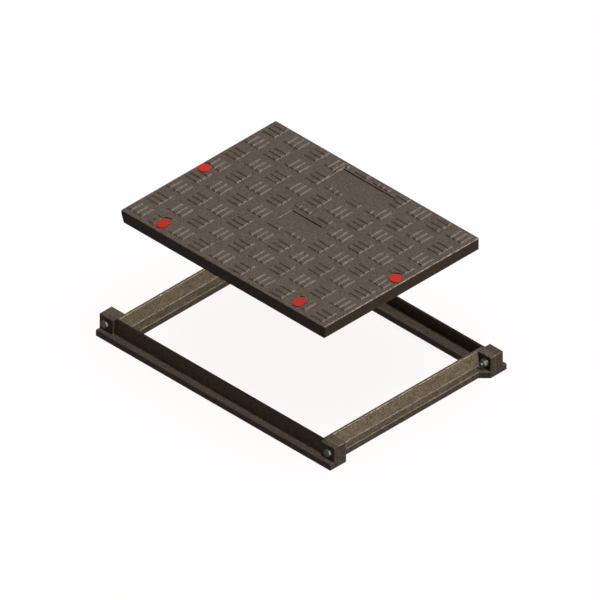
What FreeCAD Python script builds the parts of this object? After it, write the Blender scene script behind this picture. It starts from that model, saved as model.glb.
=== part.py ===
"""Cable pit cover: a tread-top cast-iron cover above its bolted four-piece frame.

Frame axes: X along the long rails, Y along the short rails, Z up. The origin is the middle of the
base between the outermost feet; the pocket's centre lies in front of it, as the back foot reaches
further out. Sizes are in millimetres.
"""

import FreeCAD, Part
import math
import os
from types import SimpleNamespace

import Sketcher
from FreeCAD import Placement, Rotation, Vector


# Driving sizes

SIZES = {
    # frame: the pocket takes the cover, and the clear way lies below it
    "pocket_length": 650,
    "pocket_width": 500,
    "opening_length": 600,
    "opening_width": 450,
    "frame_height": 55,
    "flange_height": 16,
    "wall_top": 6,
    "wall_flare": 3,
    "root_radius": 3,
    "edge_radius": 1.5,
    # long rails: the cover's seat is a shelf on their inner side
    "front_reach": 20,
    "back_reach": 28,
    "seat_shelf": 16,
    "foot_inset": 6,
    # short rails: a low ledge inside, and a foot that widens under the back lug
    "short_reach": 21.5,
    "inner_flare": 2.5,
    "end_gap": 1,
    # corner lugs, clamped in pairs by the bolts
    "lug_length": 41,
    "front_proud": 8,
    "back_proud": 16,
    "lug_grip": 38.5,
    # bolts, nuts and washers
    "bolt_drop": 20,
    "bolt_inset": 18,
    "bolt_diameter": 10,
    "bolt_length": 55,
    "bolt_tip": 1.2,
    "bolt_play": 1.5,
    "thread_play": 0.1,
    "hex_flats": 17,
    "head_height": 6.4,
    "nut_height": 8.4,
    "washer_diameter": 20,
    "washer_height": 2,
    "washer_play": 1,
    # cover
    "play_ends": 2,
    "play_sides": 4,
    "rim_height": 30,
    "plate": 8,
    "skirt": 9,
    "slant": 9.5,
    "slant_land": 4,
    "corner_radius": 3,
    "rim_radius": 2,
    "cover_lift": 303,
    # ribs under the cover
    "long_ribs": 5,
    "cross_ribs": 7,
    "rib_thickness": 8,
    "rib_drop": 12,
    "rib_relief": 2,
    "rib_margin": 10,
    "rib_slope": 16,
    "rib_root": 2,
    # tread: blocks of three bars, a quarter turn from block to block
    "tread_height": 3,
    "tread_angle": 41,
    "bar_width": 15.8,
    "bar_length": 39,
    "bar_pitch": 16.3,
    "block_pairs_x": 5,
    "block_pairs_y": 4,
    "tread_shift_x": -3.5,
    "tread_shift_y": 3,
    # bare panels sunk in the top, with the bars cleared round them
    "panel_depth": 3.5,
    "mid_panel_length": 98,
    "mid_panel_width": 48,
    "mid_clear_length": 129,
    "mid_clear_width": 76,
    "name_panel_length": 170,
    "name_panel_width": 72,
    "name_panel_inset": 60,
    "name_clear_strip": 5,
    # key holes: stepped cups that take the plugs
    "key_round": 30,
    "key_round_inset": 19.5,
    "key_slot_width": 25,
    "key_slot_length": 38,
    "key_slot_inset": 29,
    "key_slot_end": 107,
    "key_clear": 6,
    "key_step": 4,
    "key_shoulder": 4,
    "key_depth": 18,
    "key_wall": 5,
    "key_floor": 4,
    # plugs
    "plug_play": 0.3,
    "plug_spigot": 11,
    "plug_wall": 2.5,
    "plug_edge": 1,
}

doc = FreeCAD.newDocument("cable_pit_cover")
sheet = doc.addObject("Spreadsheet::Sheet", "Sizes")
for row, (alias, number) in enumerate(SIZES.items(), start=1):
    sheet.set(f"A{row}", alias)
    sheet.set(f"B{row}", str(number))
    sheet.setAlias(f"B{row}", alias)
doc.recompute()


class Size:
    """A length together with the expression that gives it."""

    def __init__(self, number, text):
        self.number = number
        self.text = text

    def __add__(self, other):
        other = as_size(other)
        return Size(self.number + other.number, f"({self.text} + {other.text})")

    def __sub__(self, other):
        other = as_size(other)
        return Size(self.number - other.number, f"({self.text} - {other.text})")

    def __mul__(self, other):
        other = as_size(other)
        return Size(self.number * other.number, f"({self.text} * {other.text})")

    def __truediv__(self, other):
        other = as_size(other)
        return Size(self.number / other.number, f"({self.text} / {other.text})")

    def __neg__(self):
        return self * -1


def as_size(given):
    """A plain number as a Size; a Size as it is."""
    return given if isinstance(given, Size) else Size(given, f"({given})")


def bind(item, path, size):
    """Ties one property of an object to its expression."""
    item.setExpression(path, as_size(size).text)


dim = SimpleNamespace(**{alias: Size(float(sheet.get(alias)), "Sizes." + alias) for alias in SIZES})


# Lines and planes that the pieces share

pocket_y = dim.pocket_width / 2
wall_y = pocket_y + dim.wall_top
root_y = wall_y + dim.wall_flare
step_y = pocket_y - dim.foot_inset
front_lug_y = wall_y + dim.front_proud
back_lug_y = wall_y + dim.back_proud
middle_y = (dim.back_reach - dim.front_reach) / 2
pocket_x = dim.pocket_length / 2
toe_x = pocket_x - dim.inner_flare
wall_x = pocket_x + dim.wall_top
root_x = wall_x + dim.wall_flare
edge_x = wall_x + dim.short_reach
end_x = wall_x + dim.lug_length
bolt_x = end_x - dim.bolt_inset
bolt_z = dim.frame_height - dim.bolt_drop
opening_x = dim.opening_length / 2
opening_y = dim.opening_width / 2
tread_top = dim.rim_height + dim.tread_height
seat_z = dim.frame_height - tread_top
cover_x = pocket_x - dim.play_ends
cover_y = pocket_y - dim.play_sides
cover_z = seat_z + dim.cover_lift
key_seat = dim.rim_height - dim.key_step
key_x = cover_x - dim.key_round_inset
slot_x = cover_x - dim.key_slot_end
slot_y = dim.key_slot_inset - cover_y


# Sketches and features

def new_body(name):
    """An empty body with its label."""
    body = doc.addObject("PartDesign::Body", name)
    body.Label = name
    return body


def sketch_on(body, name, role, height=0):
    """A sketch on one of the body's own planes, or at a height above it."""
    sketch = body.newObject("Sketcher::SketchObject", name)
    plane = next(item for item in body.Origin.OriginFeatures if item.Role == role)
    sketch.AttachmentSupport = (plane, [""])
    sketch.MapMode = "FlatFace"
    bind(sketch, "AttachmentOffset.Base.z", height)
    return sketch


def measure(sketch, constraint, size):
    """Adds a dimension and ties it to its expression."""
    index = sketch.addConstraint(constraint)
    sketch.setExpression(f"Constraints[{index}]", size.text)


def fix(sketch, item, point, x, y):
    """Places one point of an item, measured from the sketch's origin."""
    for kind, size in (("DistanceX", as_size(x)), ("DistanceY", as_size(y))):
        measure(sketch, Sketcher.Constraint(kind, -1, 1, item, point, size.number), size)


def outline(sketch, corners):
    """A closed outline of straight lines through the corners."""
    first = sketch.GeometryCount
    points = [Vector(as_size(x).number, as_size(y).number, 0) for x, y in corners]
    for start, end in zip(points, points[1:] + points[:1]):
        sketch.addGeometry(Part.LineSegment(start, end), False)
    for index, (x, y) in enumerate(corners):
        following = first + (index + 1) % len(corners)
        sketch.addConstraint(Sketcher.Constraint("Coincident", first + index, 2, following, 1))
        fix(sketch, first + index, 1, x, y)


def box(sketch, x, y, length, width):
    """A rectangle about its centre."""
    x = as_size(x)
    y = as_size(y)
    right = x + length / 2
    left = x - length / 2
    back = y + width / 2
    front = y - width / 2
    outline(sketch, [(left, front), (right, front), (right, back), (left, back)])


def circle(sketch, x, y, diameter):
    """A circle about its centre."""
    middle = Vector(as_size(x).number, as_size(y).number, 0)
    item = sketch.addGeometry(Part.Circle(middle, Vector(0, 0, 1), diameter.number / 2), False)
    fix(sketch, item, 3, x, y)
    measure(sketch, Sketcher.Constraint("Diameter", item, diameter.number), diameter)


def slot(sketch, x, y, length, width):
    """A round-ended slot along Y about its centre."""
    x = as_size(x)
    y = as_size(y)
    radius = width / 2
    reach = (length - width) / 2
    arcs = []
    for side, start in ((1, 0), (-1, math.pi)):
        middle = y + reach * side
        ring = Part.Circle(Vector(x.number, middle.number, 0), Vector(0, 0, 1), radius.number)
        arcs.append(sketch.addGeometry(Part.ArcOfCircle(ring, start, start + math.pi), False))
        fix(sketch, arcs[-1], 3, x, middle)
        measure(sketch, Sketcher.Constraint("Radius", arcs[-1], radius.number), radius)
    for arc, other, side in ((arcs[0], arcs[1], -1), (arcs[1], arcs[0], 1)):
        start = Vector((x + radius * side).number, (y - reach * side).number, 0)
        end = Vector((x + radius * side).number, (y + reach * side).number, 0)
        flank = sketch.addGeometry(Part.LineSegment(start, end), False)
        sketch.addConstraint(Sketcher.Constraint("Tangent", flank, 1, arc, 2))
        sketch.addConstraint(Sketcher.Constraint("Tangent", flank, 2, other, 1))


def pad(body, sketch, name, length, taper=0, merge=True):
    """Raises a sketch along its normal; merge joins faces that lie in one plane."""
    feature = body.newObject("PartDesign::Pad", name)
    feature.Profile = sketch
    feature.Refine = merge
    bind(feature, "Length", length)
    bind(feature, "TaperAngle", taper)
    return feature


def pocket(body, sketch, name, length=None, upward=False, merge=True):
    """Cuts a sketch against its normal, or along it; with no length it goes right through."""
    doc.recompute()
    before = body.Shape.Volume
    feature = body.newObject("PartDesign::Pocket", name)
    feature.Profile = sketch
    feature.Refine = merge
    feature.Reversed = upward
    if length is None:
        feature.Type = "ThroughAll"
        feature.Midplane = True
    else:
        bind(feature, "Length", length)
    doc.recompute()
    if feature.Shape.Volume > before - 1:
        raise ValueError(f"{body.Label}: {name} cuts nothing")
    return feature


def row_of(body, sketch, name, axis, span, count):
    """One direction of a pattern: evenly spaced copies over a span."""
    row = body.newObject("PartDesign::LinearPattern", name)
    row.Direction = (sketch, [axis])
    bind(row, "Length", span)
    bind(row, "Occurrences", count)
    return row


def grid_of(body, feature, name, rows):
    """A pattern in two directions."""
    grid = body.newObject("PartDesign::MultiTransform", name)
    grid.Refine = False
    grid.Originals = [feature]
    grid.Transformations = rows
    body.Tip = grid
    return grid


def edges_where(feature, test):
    """Names of the feature's edges whose two ends pass a test."""
    names = []
    for index, edge in enumerate(feature.Shape.Edges, start=1):
        ends = [vertex.Point for vertex in edge.Vertexes]
        if len(ends) == 2 and test(ends[0], ends[1]):
            names.append(f"Edge{index}")
    return names


def round_edges(body, feature, name, radius, test):
    """Rounds the feature's edges whose two ends pass a test."""
    doc.recompute()
    fillet = body.newObject("PartDesign::Fillet", name)
    fillet.Base = (feature, edges_where(feature, test))
    bind(fillet, "Radius", radius)
    return fillet


def near(first, second):
    """Whether two lengths are the same."""
    return abs(first - second) < 0.01


def along_x(y, z):
    """A test for edges along X at a place in the rail's section."""
    return lambda a, b: all(near(p.y, y.number) and near(p.z, z.number) for p in (a, b))


def along_y(x, z):
    """A test for edges along Y at a place in the rail's section."""
    return lambda a, b: all(near(p.x, x.number) and near(p.z, z.number) for p in (a, b))


def place(item, x, y, z, rotation=Rotation()):
    """Turns a finished piece and moves it to its place, given from the pocket's centre at the base."""
    item.Placement = Placement(Vector(), rotation)
    bind(item, "Placement.Base.x", x)
    bind(item, "Placement.Base.y", as_size(y) - middle_y)
    bind(item, "Placement.Base.z", z)
    pieces.append(item)


pieces = []


# Long rails

def long_rail(name, side, reach, lug_y):
    """A long rail: side is 1 at the back and -1 at the front; reach is its foot's, beyond the wall."""
    body = new_body(name)
    edge_y = wall_y + reach

    section = sketch_on(body, name + "_section", "YZ_Plane", -end_x)
    outline(section, [
        (pocket_y * side, 0),
        (edge_y * side, 0),
        (edge_y * side, dim.flange_height),
        (root_y * side, dim.flange_height),
        (wall_y * side, dim.frame_height),
        (pocket_y * side, dim.frame_height),
    ])
    pad(body, section, name + "_wall", end_x * 2)

    shelf_z = seat_z - dim.seat_shelf
    seat_end = toe_x - dim.end_gap
    seat = sketch_on(body, name + "_seat_section", "YZ_Plane", -seat_end)
    outline(seat, [
        (opening_y * side, shelf_z),
        (opening_y * side, seat_z),
        (pocket_y * side, seat_z),
        (pocket_y * side, 0),
        (step_y * side, 0),
        (step_y * side, shelf_z),
    ])
    pad(body, seat, name + "_seat", seat_end * 2)

    lugs = sketch_on(body, name + "_lug_outline", "XY_Plane")
    for way in (1, -1):
        outline(lugs, [
            (wall_x * way, pocket_y * side),
            (end_x * way, pocket_y * side),
            (end_x * way, lug_y * side),
            (wall_x * way, lug_y * side),
        ])
    lugs = pad(body, lugs, name + "_lugs", dim.frame_height)

    root = along_x(root_y * side, dim.flange_height)
    corner = along_x(pocket_y * side, seat_z)
    inner = lambda a, b: root(a, b) or corner(a, b)
    rounded = round_edges(body, lugs, name + "_root", dim.root_radius, inner)
    rim = along_x(edge_y * side, dim.flange_height)
    nose = along_x(opening_y * side, seat_z)
    round_edges(body, rounded, name + "_edges", dim.edge_radius, lambda a, b: rim(a, b) or nose(a, b))

    holes = sketch_on(body, name + "_hole_outline", "XZ_Plane")
    for way in (1, -1):
        circle(holes, bolt_x * way, bolt_z, dim.bolt_diameter + dim.bolt_play)
    pocket(body, holes, name + "_holes")
    place(body, 0, 0, 0)


long_rail("rail_back", 1, dim.back_reach, back_lug_y)
long_rail("rail_front", -1, dim.front_reach, front_lug_y)


# Short rails

def short_rail(name, side):
    """A short rail: side is 1 at the right and -1 at the left, its mirror image."""
    body = new_body(name)

    section = sketch_on(body, name + "_section", "XZ_Plane", -pocket_y)
    outline(section, [
        (toe_x * side, 0),
        (root_x * side, 0),
        (root_x * side, dim.flange_height),
        (wall_x * side, dim.frame_height),
        (pocket_x * side, dim.frame_height),
    ])
    pad(body, section, name + "_wall", pocket_y * 2)

    front_y = dim.lug_grip - front_lug_y
    back_y = back_lug_y - dim.lug_grip
    within = wall_x + dim.wall_flare / 2
    foot = sketch_on(body, name + "_foot_outline", "XY_Plane")
    outline(foot, [
        (within * side, -pocket_y),
        (edge_x * side, -pocket_y),
        (edge_x * side, back_y - (end_x - edge_x)),
        (end_x * side, back_y),
        (end_x * side, pocket_y),
        (within * side, pocket_y),
    ])
    ledge_y = opening_y - dim.end_gap
    outline(foot, [
        (opening_x * side, -ledge_y),
        (wall_x * side, -ledge_y),
        (wall_x * side, ledge_y),
        (opening_x * side, ledge_y),
    ])
    pad(body, foot, name + "_foot", dim.flange_height)

    lugs = sketch_on(body, name + "_lug_outline", "XY_Plane")
    for inner, outer in ((front_y, -pocket_y), (back_y, pocket_y)):
        outline(lugs, [
            (wall_x * side, outer),
            (end_x * side, outer),
            (end_x * side, inner),
            (wall_x * side, inner),
        ])
    lugs = pad(body, lugs, name + "_lugs", dim.frame_height)

    toe_slope = dim.inner_flare * dim.flange_height / dim.frame_height
    outside = along_y(root_x * side, dim.flange_height)
    inside = along_y((toe_x + toe_slope) * side, dim.flange_height)
    roots = lambda a, b: outside(a, b) or inside(a, b)
    rounded = round_edges(body, lugs, name + "_root", dim.root_radius, roots)
    rim = along_y(edge_x * side, dim.flange_height)
    nose = along_y(opening_x * side, dim.flange_height)
    round_edges(body, rounded, name + "_edges", dim.edge_radius, lambda a, b: rim(a, b) or nose(a, b))

    holes = sketch_on(body, name + "_hole_outline", "XZ_Plane")
    circle(holes, bolt_x * side, bolt_z, dim.bolt_diameter + dim.bolt_play)
    pocket(body, holes, name + "_holes")
    place(body, 0, 0, 0)


short_rail("rail_right", 1)
short_rail("rail_left", -1)


# Corner fasteners

def primitive(kind, name, **sizes):
    """A basic solid with its sizes tied to the sheet."""
    item = doc.addObject("Part::" + kind, name)
    for path, size in sizes.items():
        bind(item, path, size)
    return item


def hexagon(name, height, both_ends):
    """A hexagonal block with its corners turned off at the top, or at both ends."""
    block = primitive("Prism", name + "_block", Circumradius=dim.hex_flats / math.sqrt(3), Height=height)
    block.Polygon = 6
    face = dim.hex_flats * 0.475
    wide = face + height * math.sqrt(3)
    cone = primitive("Cone", name + "_cone", Radius1=wide, Radius2=face, Height=height)
    turned = doc.addObject("Part::Common", name + "_turned")
    turned.Base = block
    turned.Tool = cone
    if not both_ends:
        return turned
    under = primitive("Cone", name + "_under_cone", Radius1=face, Radius2=wide, Height=height)
    both = doc.addObject("Part::Common", name + "_both")
    both.Base = turned
    both.Tool = under
    return both


def bored(name, blank, diameter, height):
    """A blank with a hole along its axis."""
    bore = primitive("Cylinder", name + "_bore", Radius=diameter / 2, Height=height)
    cut = doc.addObject("Part::Cut", name)
    cut.Label = name
    cut.Base = blank
    cut.Tool = bore
    return cut


def fasteners(corner, side_x, side_y, head_y):
    """The bolt, washer and nut of one corner; the head is outside and the nut inside."""
    x = bolt_x * side_x
    nut_y = head_y - dim.lug_grip
    outward = Rotation(Vector(1, 0, 0), -90 * side_y)

    name = "bolt_" + corner
    head = hexagon(name, dim.head_height, both_ends=False)
    radius = dim.bolt_diameter / 2
    shank = primitive("Cylinder", name + "_shank", Radius=radius, Height=dim.bolt_length - dim.bolt_tip)
    bind(shank, "Placement.Base.z", dim.bolt_tip - dim.bolt_length)
    tip = primitive("Cone", name + "_tip", Radius1=radius - dim.bolt_tip, Radius2=radius, Height=dim.bolt_tip)
    bind(tip, "Placement.Base.z", -dim.bolt_length)
    bolt = doc.addObject("Part::MultiFuse", name)
    bolt.Label = name
    bolt.Shapes = [head, shank, tip]
    place(bolt, x, head_y * side_y, bolt_z, outward)

    name = "washer_" + corner
    blank = primitive("Cylinder", name + "_blank", Radius=dim.washer_diameter / 2, Height=dim.washer_height)
    washer = bored(name, blank, dim.bolt_diameter + dim.washer_play, dim.washer_height)
    place(washer, x, (nut_y - dim.washer_height) * side_y, bolt_z, outward)

    name = "nut_" + corner
    blank = hexagon(name, dim.nut_height, both_ends=True)
    nut = bored(name, blank, dim.bolt_diameter + dim.thread_play, dim.nut_height)
    place(nut, x, (nut_y - dim.washer_height - dim.nut_height) * side_y, bolt_z, outward)


for end, side_x in (("left", -1), ("right", 1)):
    fasteners("front_" + end, side_x, -1, front_lug_y)
    fasteners("back_" + end, side_x, 1, back_lug_y)


# Cover: rim, skirt and ribs

cover = new_body("cover")
rim = sketch_on(cover, "rim_outline", "XY_Plane")
box(rim, 0, 0, cover_x * 2, cover_y * 2)
rim = pad(cover, rim, "rim", dim.rim_height)
upright = lambda a, b: near(a.x, b.x) and near(a.y, b.y)
corners = round_edges(cover, rim, "corners", dim.corner_radius, upright)
top = lambda a, b: near(a.z, dim.rim_height.number) and near(b.z, dim.rim_height.number)
round_edges(cover, corners, "rim_edge", dim.rim_radius, top)

side = sketch_on(cover, "slant_outline", "XZ_Plane")
outline(side, [
    (-cover_x, 0),
    (dim.slant - cover_x, 0),
    (-cover_x, dim.rim_height - dim.slant_land),
])
pocket(cover, side, "slant")

hollow_left = dim.slant + dim.skirt - cover_x
hollow_right = cover_x - dim.skirt
hollow_y = cover_y - dim.skirt
under = sketch_on(cover, "hollow_outline", "XY_Plane")
outline(under, [
    (hollow_left, -hollow_y),
    (hollow_right, -hollow_y),
    (hollow_right, hollow_y),
    (hollow_left, hollow_y),
])
plate_z = dim.rim_height - dim.plate
pocket(cover, under, "hollow", plate_z, upward=True)


def rib_side(sketch, left, right, opening):
    """A rib's side view: raised at its ends to clear the seat, deeper within the clear way."""
    bend = opening - dim.rib_margin
    deep = bend - dim.rib_slope
    outline(sketch, [
        (left, plate_z + dim.rib_root),
        (left, dim.rib_relief),
        (-bend, dim.rib_relief),
        (-deep, -dim.rib_drop),
        (deep, -dim.rib_drop),
        (bend, dim.rib_relief),
        (right, dim.rib_relief),
        (right, plate_z + dim.rib_root),
    ])


long_step = cover_y * 2 / (dim.long_ribs + 1)
long_span = long_step * (dim.long_ribs - 1)
rib = sketch_on(cover, "long_rib_side", "XZ_Plane", (long_span - dim.rib_thickness) / 2)
rib_side(rib, hollow_left - dim.rib_root, hollow_right + dim.rib_root, opening_x)
rib_pad = pad(cover, rib, "long_rib", dim.rib_thickness)
ribs = row_of(cover, rib, "long_ribs", "N_Axis", long_span, dim.long_ribs)
ribs.Originals = [rib_pad]
ribs.Reversed = True
cover.Tip = ribs

cross_step = cover_x * 2 / (dim.cross_ribs + 1)
cross_span = cross_step * (dim.cross_ribs - 1)
rib = sketch_on(cover, "cross_rib_side", "YZ_Plane", (cross_span + dim.rib_thickness) / -2)
rib_side(rib, -hollow_y - dim.rib_root, hollow_y + dim.rib_root, opening_y)
rib_pad = pad(cover, rib, "cross_rib", dim.rib_thickness)
ribs = row_of(cover, rib, "cross_ribs", "N_Axis", cross_span, dim.cross_ribs)
ribs.Originals = [rib_pad]
cover.Tip = ribs


# Cover: key cups under the plate

def key_outlines(sketch, growth):
    """The four key holes, all grown or shrunk by the same amount."""
    for way in (1, -1):
        circle(sketch, key_x * way, 0, dim.key_round + growth)
        slot(sketch, slot_x * way, slot_y, dim.key_slot_length + growth, dim.key_slot_width + growth)


cup_z = dim.rim_height - dim.key_depth - dim.key_floor
bore = dim.key_shoulder * -2
cups = sketch_on(cover, "cup_outline", "XY_Plane", cup_z)
key_outlines(cups, bore + dim.key_wall * 2)
pad(cover, cups, "cups", plate_z + dim.rib_root - cup_z)


# Cover: key holes

steps = sketch_on(cover, "key_step_outline", "XY_Plane", dim.rim_height)
key_outlines(steps, as_size(0))
pocket(cover, steps, "key_steps", dim.key_step)
bores = sketch_on(cover, "key_bore_outline", "XY_Plane", dim.rim_height)
key_outlines(bores, bore)
pocket(cover, bores, "key_bores", dim.key_depth)


# Cover: tread

block_x = cover_x / dim.block_pairs_x
block_y = cover_y / dim.block_pairs_y
first_x = dim.tread_shift_x - cover_x + block_x / 2
first_y = dim.tread_shift_y - cover_y + block_y / 2

bars = sketch_on(cover, "bar_outline", "XY_Plane", dim.rim_height)
for column in (0, 1):
    for line in (0, 1):
        x = first_x + block_x * column
        y = first_y + block_y * line
        for bar in (-1, 0, 1):
            if column == line:
                box(bars, x + dim.bar_pitch * bar, y, dim.bar_width, dim.bar_length)
            else:
                box(bars, x, y + dim.bar_pitch * bar, dim.bar_length, dim.bar_width)
four_blocks = pad(cover, bars, "four_blocks", dim.tread_height, -dim.tread_angle, merge=False)
grid_of(cover, four_blocks, "tread", [
    row_of(cover, bars, "tread_x", "H_Axis", block_x * 2 * (dim.block_pairs_x - 1), dim.block_pairs_x),
    row_of(cover, bars, "tread_y", "V_Axis", block_y * 2 * (dim.block_pairs_y - 1), dim.block_pairs_y),
])

name_y = cover_y - dim.name_panel_inset
clear = sketch_on(cover, "clear_outline", "XY_Plane", tread_top)
box(clear, dim.tread_shift_x, dim.tread_shift_y, dim.mid_clear_length, dim.mid_clear_width)
strip = dim.name_clear_strip
box(clear, 0, name_y + strip / 2, dim.name_panel_length, dim.name_panel_width + strip)
key_outlines(clear, dim.key_clear * 2)
pocket(cover, clear, "clear", dim.tread_height, merge=False)

panels = sketch_on(cover, "panel_outline", "XY_Plane", dim.rim_height)
box(panels, dim.tread_shift_x, dim.tread_shift_y, dim.mid_panel_length, dim.mid_panel_width)
box(panels, 0, name_y, dim.name_panel_length, dim.name_panel_width)
pocket(cover, panels, "panels", dim.panel_depth, merge=False)
place(cover, 0, 0, cover_z)


# Plugs

def plug(name, x, y, length, width):
    """A stepped plug: its head lies on the key hole's step, and its hollow spigot goes into the bore."""
    body = new_body(name)

    def profile(sketch, growth):
        if length is width:
            circle(sketch, 0, 0, width + growth)
        else:
            slot(sketch, 0, 0, length + growth, width + growth)

    play = dim.plug_play * -2
    head = sketch_on(body, name + "_head_outline", "XY_Plane")
    profile(head, play)
    thickness = dim.key_step + dim.tread_height
    head = pad(body, head, name + "_head", thickness)
    doc.recompute()
    ring = []
    for index, edge in enumerate(head.Shape.Edges, start=1):
        if near(edge.BoundBox.ZMin, thickness.number):
            ring.append(f"Edge{index}")
    rounded = body.newObject("PartDesign::Fillet", name + "_edge")
    rounded.Base = (head, ring)
    bind(rounded, "Radius", dim.plug_edge)

    spigot = sketch_on(body, name + "_spigot_outline", "XY_Plane", -dim.plug_spigot)
    profile(spigot, play + bore)
    pad(body, spigot, name + "_spigot", dim.plug_spigot)
    inside = sketch_on(body, name + "_inside_outline", "XY_Plane", -dim.plug_spigot)
    profile(inside, play + bore - dim.plug_wall * 2)
    pocket(body, inside, name + "_inside", dim.plug_spigot, upward=True)

    place(body, x, y, cover_z + key_seat)


plug("plug_left", -key_x, 0, dim.key_round, dim.key_round)
plug("plug_right", key_x, 0, dim.key_round, dim.key_round)
plug("plug_front_left", -slot_x, slot_y, dim.key_slot_length, dim.key_slot_width)
plug("plug_front_right", slot_x, slot_y, dim.key_slot_length, dim.key_slot_width)


# Checks and files

doc.recompute()
for item in doc.Objects:
    if "Invalid" in item.State or "Error" in item.State:
        raise ValueError(f"{item.Label} did not recompute: {item.State}")
for piece in pieces:
    if piece.Shape.isNull() or not piece.Shape.isValid():
        raise ValueError(f"{piece.Label} has no valid shape")
    if len(piece.Shape.Solids) != 1:
        raise ValueError(f"{piece.Label} has {len(piece.Shape.Solids)} solids")

os.makedirs("parts", exist_ok=True)
for piece in pieces:
    piece.Shape.exportStep(f"parts/{piece.Label}.step")
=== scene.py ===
"""Looks of the cable pit cover: cast-iron finishes, red plugs, steel fasteners, light and camera."""

import math

import bmesh
import bpy
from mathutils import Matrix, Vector


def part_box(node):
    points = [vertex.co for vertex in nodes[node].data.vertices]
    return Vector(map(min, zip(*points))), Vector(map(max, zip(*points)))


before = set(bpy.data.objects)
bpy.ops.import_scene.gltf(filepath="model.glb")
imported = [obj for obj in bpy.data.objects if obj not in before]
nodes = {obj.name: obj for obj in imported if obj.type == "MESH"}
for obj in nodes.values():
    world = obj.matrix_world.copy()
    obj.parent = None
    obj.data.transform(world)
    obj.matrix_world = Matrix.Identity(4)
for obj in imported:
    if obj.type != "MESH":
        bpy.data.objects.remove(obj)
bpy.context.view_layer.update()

# Lengths are in metres.
EDGE_ROUNDING = 0.0026
RIM_ROUNDING = 0.005
FLOOR_REACH = 12
FLOOR_DROP = 0.0002
PICTURE_WIDTH = 1.3466
LOOK_AT = Vector((0, -0.004, 0.1458))
CAMERA_DISTANCE = 4


# Node helpers

def material(name):
    """A new node material: itself, its tree and its shader."""
    made = bpy.data.materials.new(name)
    made.use_nodes = True
    return made, made.node_tree, made.node_tree.nodes["Principled BSDF"]


def add(tree, kind, inputs=None, **settings):
    """A node with its settings, and its inputs given as values or as sockets to link from."""
    node = tree.nodes.new(kind)
    for key, value in settings.items():
        setattr(node, key, value)
    for key, value in (inputs or {}).items():
        if isinstance(value, bpy.types.NodeSocket):
            tree.links.new(value, node.inputs[key])
        else:
            node.inputs[key].default_value = value
    return node


def maths(tree, operation, *values):
    """The result of a sum, a product or the like."""
    return add(tree, "ShaderNodeMath", dict(enumerate(values)), operation=operation).outputs[0]


def split(tree, vector):
    """The X, Y and Z of a vector."""
    return add(tree, "ShaderNodeSeparateXYZ", {"Vector": vector}).outputs


def grey(tree, value):
    """A colour that has one value in all its channels."""
    return add(tree, "ShaderNodeCombineXYZ", {"X": value, "Y": value, "Z": value}).outputs["Vector"]


def place_on(tree):
    """Where a point lies on its object."""
    return add(tree, "ShaderNodeTexCoord").outputs["Object"]


def face_normal(tree):
    """Which way the surface faces."""
    return add(tree, "ShaderNodeNewGeometry").outputs["Normal"]


def eased_normal(tree, radius, samples):
    """Which way the surface would face with its edges rounded."""
    return add(tree, "ShaderNodeBevel", {"Radius": radius}, samples=samples).outputs["Normal"]


def noise(tree, where, scale, detail=3.0, roughness=0.55, distortion=0.0):
    """Noise over the object, with its scale in features per metre."""
    values = {
        "Vector": where,
        "Scale": scale,
        "Detail": detail,
        "Roughness": roughness,
        "Distortion": distortion,
    }
    return add(tree, "ShaderNodeTexNoise", values).outputs["Fac"]


def spread(tree, value, low, high, to_low=0.0, to_high=1.0):
    """Maps one range of a value onto another, and holds it there."""
    values = {"Value": value, "From Min": low, "From Max": high, "To Min": to_low, "To Max": to_high}
    return add(tree, "ShaderNodeMapRange", values, clamp=True).outputs["Result"]


def blend(tree, factor, first, second, mode="MIX"):
    """Mixes two colours."""
    node = tree.nodes.new("ShaderNodeMix")
    node.data_type = "RGBA"
    node.blend_type = mode
    for socket, value in ((node.inputs[0], factor), (node.inputs[6], first), (node.inputs[7], second)):
        if isinstance(value, bpy.types.NodeSocket):
            tree.links.new(value, socket)
        else:
            socket.default_value = value
    return node.outputs[2]


def bump(tree, shader, height, depth, normal=None):
    """Raises the shader's surface by a height, over its own normal or a given one."""
    values = {"Height": height, "Distance": depth}
    if normal is not None:
        values["Normal"] = normal
    raised = add(tree, "ShaderNodeBump", values).outputs["Normal"]
    tree.links.new(raised, shader.inputs["Normal"])


def srgb(red, green, blue):
    """A linear colour from 8-bit display values."""
    def linear(value):
        value /= 255
        return value / 12.92 if value <= 0.04045 else ((value + 0.055) / 1.055) ** 2.4

    return (linear(red), linear(green), linear(blue), 1.0)


# Cast iron

def painted_light_by_slope(tree, upright, drafted, sloping, level):
    """One tone each for upright, drafted, sloping and level faces: painted light and shade, which makes
    each slope as light or dark as the light falling on it would.
    """
    ramp = add(tree, "ShaderNodeValToRGB", {"Fac": split(tree, face_normal(tree))["Z"]})
    stops = (
        (0.02, upright),
        (0.035, drafted),
        (0.25, drafted),
        (0.35, sloping),
        (0.7, sloping),
        (0.85, level),
    )
    given = list(ramp.color_ramp.elements)
    for index, (place, tone) in enumerate(stops):
        stop = given[index] if index < len(given) else ramp.color_ramp.elements.new(place)
        stop.position = place
        stop.color = tone
    return ramp.outputs["Color"]


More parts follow.
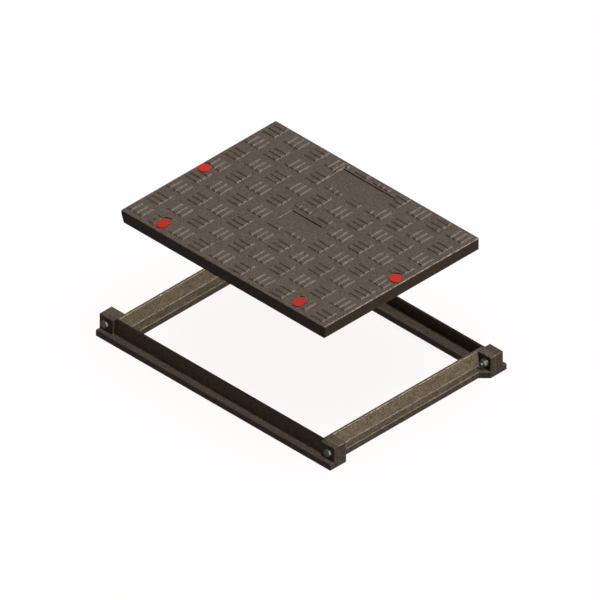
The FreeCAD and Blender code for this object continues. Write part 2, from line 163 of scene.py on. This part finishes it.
def cast_iron(
    name, upright, drafted, sloping, level, wear_and_highlight_tone,
    patch=0.06, grain=0.5, streak=0.0, spot=None, spot_tone=None, rim=None, shine=0.3,
):
    """Sand-cast iron, grainy and pitted, with painted light and shade: a tone for each slope, and faces
    towards -Y darkened as painted shade. Its edges are lighter, as wear in part and as a painted highlight
    in part.

    spot marks faces that take spot_tone over the slope tones, and rim marks edges that are rounded and
    bare, and lighter as wear in part and as a painted highlight in part.
    """
    made, tree, shader = material(name)
    where = place_on(tree)
    flat = face_normal(tree)
    # Painted light and shade: a tone for each slope.
    tone = painted_light_by_slope(tree, upright, drafted, sloping, level)
    if spot:
        tone = blend(tree, spot(tree, where), tone, spot_tone)

    shade = spread(tree, noise(tree, where, 14, 4, 0.6), 0.3, 0.7, 1 - patch, 1 + patch)
    for scale, depth in ((120, grain * 0.3), (330, grain)):
        grains = spread(tree, noise(tree, where, scale, 3, 0.7), 0.34, 0.66, 1 - depth, 1 + depth)
        shade = maths(tree, "MULTIPLY", shade, grains)
    if streak:
        long = add(tree, "ShaderNodeMapping", {"Vector": where, "Scale": (1, 0.3, 1)}).outputs["Vector"]
        streaks = spread(tree, noise(tree, long, 150, 3, 0.6, 0.8), 0.3, 0.7, 1 - streak, 1 + streak)
        shade = maths(tree, "MULTIPLY", shade, streaks)
    # Faces turned towards -Y are darkened by up to a third: painted shade.
    painted_front_shade = spread(tree, split(tree, flat)["Y"], -0.95, -0.7, 0.66, 1.0)
    shade = maths(tree, "MULTIPLY", shade, painted_front_shade)
    colour = blend(tree, 1.0, tone, grey(tree, shade), "MULTIPLY")

    eased = eased_normal(tree, EDGE_ROUNDING, 6)
    bend = add(tree, "ShaderNodeVectorMath", {0: eased, 1: flat}, operation="DOT_PRODUCT").outputs["Value"]
    patches = spread(tree, noise(tree, where, 110, 3, 0.6), 0.35, 0.65, 0.1, 0.8)
    # Edges are made lighter: wear in part, and in part a painted highlight, on concave fillets as well.
    wear_and_highlight_mask = maths(tree, "MULTIPLY", spread(tree, bend, 0.98, 0.80), patches)
    bare = wear_and_highlight_mask
    if rim:
        ends = rim(tree, where)
        bare = maths(tree, "MULTIPLY", ends, patches)
        wear_and_highlight_mask = maths(tree, "MAXIMUM", wear_and_highlight_mask, bare)
        eased = blend(tree, ends, flat, eased_normal(tree, RIM_ROUNDING, 8))
    tree.links.new(blend(tree, wear_and_highlight_mask, colour, wear_and_highlight_tone), shader.inputs["Base Color"])
    tree.links.new(maths(tree, "MULTIPLY", bare, shine), shader.inputs["Metallic"])

    gloss = spread(tree, noise(tree, where, 90, 3), 0.3, 0.7, 0.36, 0.50)
    tree.links.new(gloss, shader.inputs["Roughness"])
    shader.inputs["Specular IOR Level"].default_value = 0.04

    skin = noise(tree, where, 420, 4, 0.75)
    swell = noise(tree, where, 70, 2, 0.5)
    bump(tree, shader, maths(tree, "MULTIPLY_ADD", swell, 1.2, skin), 0.0004, eased)
    return made


def cover_corner():
    """The cover's highest corner in its own coordinates."""
    return Vector(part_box("cover")[1]) - nodes["cover"].matrix_world.translation


def end_rims(tree, where):
    """1 on the rounded rims of the cover's two short sides, and 0 on the rest. These rims are made lighter
    and bare, as wear in part and as a painted highlight in part.
    """
    high = cover_corner()
    place = split(tree, where)
    edge = spread(tree, maths(tree, "ABSOLUTE", place["X"]), high.x - 0.004, high.x - 0.003)
    top = spread(tree, place["Z"], high.z - 0.0055, high.z - 0.0045)
    return maths(tree, "MULTIPLY", edge, top)


def highlit_panel_ends(tree, where):
    """1 on the sunk panels' end walls that face +X, and 0 on the rest: these walls take a lighter tone as
    a painted highlight.
    """
    high = cover_corner()
    place = split(tree, where)
    wall = spread(tree, split(tree, face_normal(tree))["X"], 0.8, 0.9)
    inside = spread(tree, place["X"], high.x - 0.005, high.x - 0.007)
    top = spread(tree, place["Z"], high.z - 0.0068, high.z - 0.0063)
    return maths(tree, "MULTIPLY", maths(tree, "MULTIPLY", wall, inside), top)


def wall_top(tree, where):
    """1 on a long rail's wall top between its lugs, and 0 on the rest."""
    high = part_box("rail_front")[1][2]
    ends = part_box("cover")[1][0]
    place = split(tree, where)
    between = spread(tree, maths(tree, "ABSOLUTE", place["X"]), ends + 0.009, ends + 0.006)
    top = spread(tree, place["Z"], high - 0.0015, high - 0.0005)
    return maths(tree, "MULTIPLY", between, top)


# The slope tones of each finish below are painted light and shade.
cover_iron = cast_iron(
    "cast_cover_finish",
    upright=srgb(62, 48, 39),
    drafted=srgb(62, 48, 39),
    sloping=srgb(92, 80, 70),
    level=srgb(88, 78, 70),
    wear_and_highlight_tone=srgb(108, 97, 87),
    patch=0.05,
    # The panels' end walls that face +X take spot_tone as a painted highlight.
    spot=highlit_panel_ends,
    spot_tone=srgb(165, 152, 138),
    rim=end_rims,
    shine=0.25,
)
long_iron = cast_iron(
    "cast_long_rail_finish",
    upright=srgb(82, 68, 57),
    drafted=srgb(101, 82, 68),
    sloping=srgb(80, 69, 60),
    level=srgb(75, 65, 57),
    wear_and_highlight_tone=srgb(102, 91, 80),
    spot=wall_top,
    spot_tone=srgb(34, 27, 23),
)
short_iron = cast_iron(
    "cast_short_rail_finish",
    upright=srgb(82, 71, 60),
    drafted=srgb(128, 113, 92),
    sloping=srgb(132, 120, 103),
    level=srgb(88, 78, 65),
    wear_and_highlight_tone=srgb(172, 160, 140),
    grain=0.6,
    streak=0.25,
)


# Plugs and fasteners

def plug_plastic(name, clean):
    """Moulded red plastic with a faint grain and a few dusty patches."""
    made, tree, shader = material(name)
    where = place_on(tree)
    dust = spread(tree, noise(tree, where, 160, 4, 0.6), 0.55, 0.85, 0.0, 0.35)
    red = blend(tree, dust, clean, srgb(120, 52, 38))
    grains = spread(tree, noise(tree, where, 420, 3, 0.6), 0.3, 0.7, 0.8, 1.2)
    tree.links.new(blend(tree, 1.0, red, grey(tree, grains), "MULTIPLY"), shader.inputs["Base Color"])
    gloss = spread(tree, noise(tree, where, 300, 3), 0.3, 0.7, 0.36, 0.52)
    tree.links.new(gloss, shader.inputs["Roughness"])
    shader.inputs["Specular IOR Level"].default_value = 0.12
    bump(tree, shader, noise(tree, where, 900, 3), 0.0001)
    return made


def dull_steel():
    """Plain steel fasteners, dulled, with slightly browned patches."""
    made, tree, shader = material("steel_fastener_finish")
    where = place_on(tree)
    stain = spread(tree, noise(tree, where, 140, 4, 0.6), 0.5, 0.8, 0.0, 0.7)
    tree.links.new(blend(tree, stain, srgb(66, 60, 54), srgb(50, 43, 36)), shader.inputs["Base Color"])
    gloss = spread(tree, noise(tree, where, 260, 3), 0.3, 0.7, 0.42, 0.58)
    tree.links.new(gloss, shader.inputs["Roughness"])
    shader.inputs["Specular IOR Level"].default_value = 0.3
    bump(tree, shader, noise(tree, where, 1200, 3), 0.00004)
    return made


round_plugs = plug_plastic("red_round_plug_finish", srgb(190, 40, 24))
front_plugs = plug_plastic("red_front_plug_finish", srgb(171, 37, 25))
steel = dull_steel()
finishes = {
    "cover": cover_iron,
    "rail_front": long_iron,
    "rail_back": long_iron,
    "rail_left": short_iron,
    "rail_right": short_iron,
    "plug_left": round_plugs,
    "plug_right": round_plugs,
    "plug_front_left": front_plugs,
    "plug_front_right": front_plugs,
}
for name, node in nodes.items():
    node.data.materials.clear()
    node.data.materials.append(finishes.get(name, steel))


# Floor, backdrop and light

def seen_directly(tree):
    """1 for what the camera sees, straight or in a gloss or glass, and 0 for the light on surfaces."""
    path = add(tree, "ShaderNodeLightPath").outputs
    seen = path["Is Camera Ray"]
    for ray in ("Is Glossy Ray", "Is Transmission Ray"):
        seen = maths(tree, "MAXIMUM", seen, path[ray])
    return seen


def floor():
    """A pale floor: the camera and shiny surfaces see it white, and little of its light comes back."""
    mesh = bpy.data.meshes.new("floor")
    made = bmesh.new()
    bmesh.ops.create_grid(made, x_segments=1, y_segments=1, size=FLOOR_REACH)
    made.to_mesh(mesh)
    made.free()
    plane = bpy.data.objects.new("floor", mesh)
    plane.location.z = -FLOOR_DROP
    bpy.context.scene.collection.objects.link(plane)

    finish, tree, shader = material("floor_finish")
    seen = seen_directly(tree)
    tone = blend(tree, seen, (0.12, 0.11, 0.11, 1), (0.30, 0.29, 0.29, 1))
    tree.links.new(tone, shader.inputs["Base Color"])
    tree.links.new(spread(tree, seen, 0.0, 1.0, 0.0, 0.72), shader.inputs["Emission Strength"])
    shader.inputs["Emission Color"].default_value = (1.0, 0.955, 0.955, 1)
    shader.inputs["Roughness"].default_value = 1.0
    shader.inputs["Specular IOR Level"].default_value = 0.0
    mesh.materials.append(finish)


def studio_world():
    """A dim white world, which the camera and shiny surfaces see as white."""
    world = bpy.data.worlds.new("studio")
    world.use_nodes = True
    bpy.context.scene.world = world
    tree = world.node_tree
    back = tree.nodes["Background"]
    tree.links.new(spread(tree, seen_directly(tree), 0.0, 1.0, 0.12, 1.0), back.inputs["Strength"])
    back.inputs["Color"].default_value = (1, 1, 1, 1)


def sun(name, toward, strength, spread_degrees):
    """A distant soft lamp; toward points from the object to it."""
    lamp = bpy.data.lights.new(name, "SUN")
    lamp.energy = strength
    lamp.angle = math.radians(spread_degrees)
    made = bpy.data.objects.new(name, lamp)
    made.rotation_mode = "QUATERNION"
    made.rotation_quaternion = Vector(toward).to_track_quat("Z", "Y")
    bpy.context.scene.collection.objects.link(made)
    return made


floor()
studio_world()
key = sun("key", (0.52, 0.26, 0.81), 2.7, 18)
glint = sun("glint", (0.64, 0.56, 0.52), 12.0, 16)
glint.visible_diffuse = False
sun("overhead", (0.1, 0.0, 1.0), 0.75, 60)

# The glint leaves the plugs dull. Of all nodes only the washers shade the key and the glint, so the
# raised cover leaves no hard shadow on the frame, and the overhead lamp gives the soft one.
lit = bpy.data.collections.new("glint_lit")
blockers = bpy.data.collections.new("lamp_blockers")
for name, node in nodes.items():
    if not name.startswith("plug"):
        lit.objects.link(node)
    if name.startswith("washer"):
        blockers.objects.link(node)
glint.light_linking.receiver_collection = lit
for lamp in (key, glint):
    lamp.light_linking.blocker_collection = blockers


# Camera

camera = bpy.data.objects.new("camera", bpy.data.cameras.new("camera"))
bpy.context.scene.collection.objects.link(camera)
bpy.context.scene.camera = camera
camera.data.type = "ORTHO"
camera.data.ortho_scale = PICTURE_WIDTH
camera.data.clip_end = CAMERA_DISTANCE * 5
backward = Vector((1, -1, 1)).normalized()
camera.rotation_mode = "QUATERNION"
camera.rotation_quaternion = backward.to_track_quat("Z", "Y")
camera.location = LOOK_AT + backward * CAMERA_DISTANCE

bpy.context.scene.view_settings.view_transform = "Standard"
